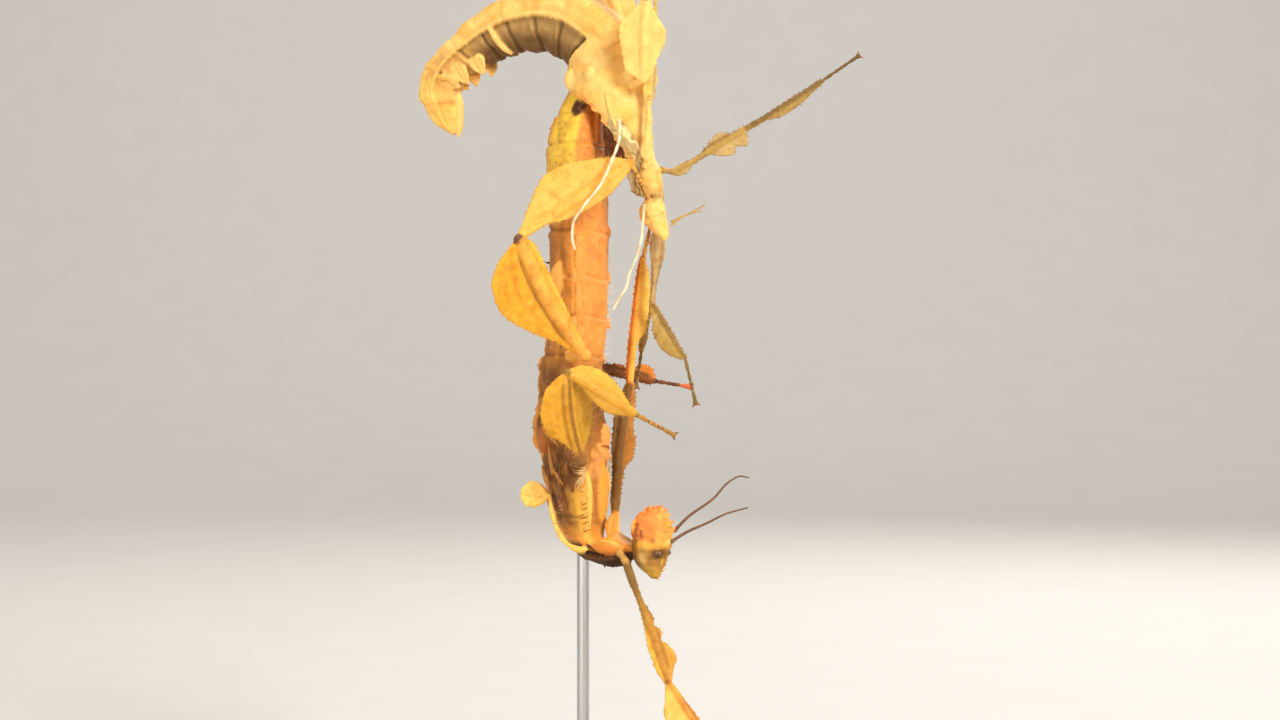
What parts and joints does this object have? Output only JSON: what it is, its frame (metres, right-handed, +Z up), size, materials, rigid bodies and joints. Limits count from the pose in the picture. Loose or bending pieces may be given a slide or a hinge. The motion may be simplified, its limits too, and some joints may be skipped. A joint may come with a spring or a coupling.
{
  "type": "stick insect",
  "caption": "Life-size spiny stick insect with leaf-like legs, hanging head down out of its curved shed skin, held by a rod and arm on a round base.",
  "frame": {"origin": "centre of the underside of the stand's round base", "axes": "+Z up; the front, -Y, is the side that shows the insect's left flank and belly, with its head pointing down and its face towards +X"},
  "size_m": [0.11, 0.11, 0.2212],
  "materials": {
    "fresh_cuticle": "satin",
    "fresh_leaf": "satin",
    "eye": "gloss",
    "feeler": "satin",
    "husk": "satin",
    "thread": "matt",
    "stand_board": "painted black, satin",
    "stand_steel": "satin"
  },
  "bodies": {
    "root": {"abdomen_base": "fresh_cuticle", "abdomen_middle": "fresh_cuticle", "abdomen_tip": "fresh_cuticle", "antenna_left": "feeler", "antenna_right": "feeler", "eye_left": "eye", "eye_right": "eye", "femur_fore_left": "fresh_leaf", "femur_fore_right": "fresh_leaf", "femur_hind_left": "fresh_leaf", "femur_hind_right": "fresh_leaf", "femur_mid_left": "fresh_leaf", "femur_mid_right": "fresh_leaf", "head": "fresh_cuticle", "mesothorax": "fresh_cuticle", "metathorax": "fresh_cuticle", "prothorax": "fresh_cuticle", "shed_abdomen_base": "husk", "shed_abdomen_middle": "husk", "shed_abdomen_tip": "husk", "shed_antenna_left": "husk", "shed_antenna_right": "husk", "shed_femur_fore_left": "husk", "shed_femur_fore_right": "husk", "shed_femur_hind_left": "husk", "shed_femur_hind_right": "husk", "shed_femur_mid_left": "husk", "shed_femur_mid_right": "husk", "shed_head": "husk", "shed_neck": "husk", "shed_thorax": "husk", "shed_thread_lower": "thread", "shed_thread_upper": "thread", "shed_tibia_fore_left": "husk", "shed_tibia_fore_right": "husk", "shed_tibia_hind_left": "husk", "shed_tibia_hind_right": "husk", "shed_tibia_mid_left": "husk", "shed_tibia_mid_right": "husk", "stand_arm": "stand_steel", "stand_base": "stand_board", "stand_rod": "stand_steel", "tarsus_fore_left": "fresh_leaf", "tarsus_fore_right": "fresh_leaf", "tarsus_hind_left": "fresh_leaf", "tarsus_hind_right": "fresh_leaf", "tarsus_mid_left": "fresh_leaf", "tarsus_mid_right": "fresh_leaf", "tegmen_left": "fresh_leaf", "tegmen_right": "fresh_leaf", "tibia_fore_left": "fresh_leaf", "tibia_fore_right": "fresh_leaf", "tibia_hind_left": "fresh_leaf", "tibia_hind_right": "fresh_leaf", "tibia_mid_left": "fresh_leaf", "tibia_mid_right": "fresh_leaf"}
  },
  "joints": []
}
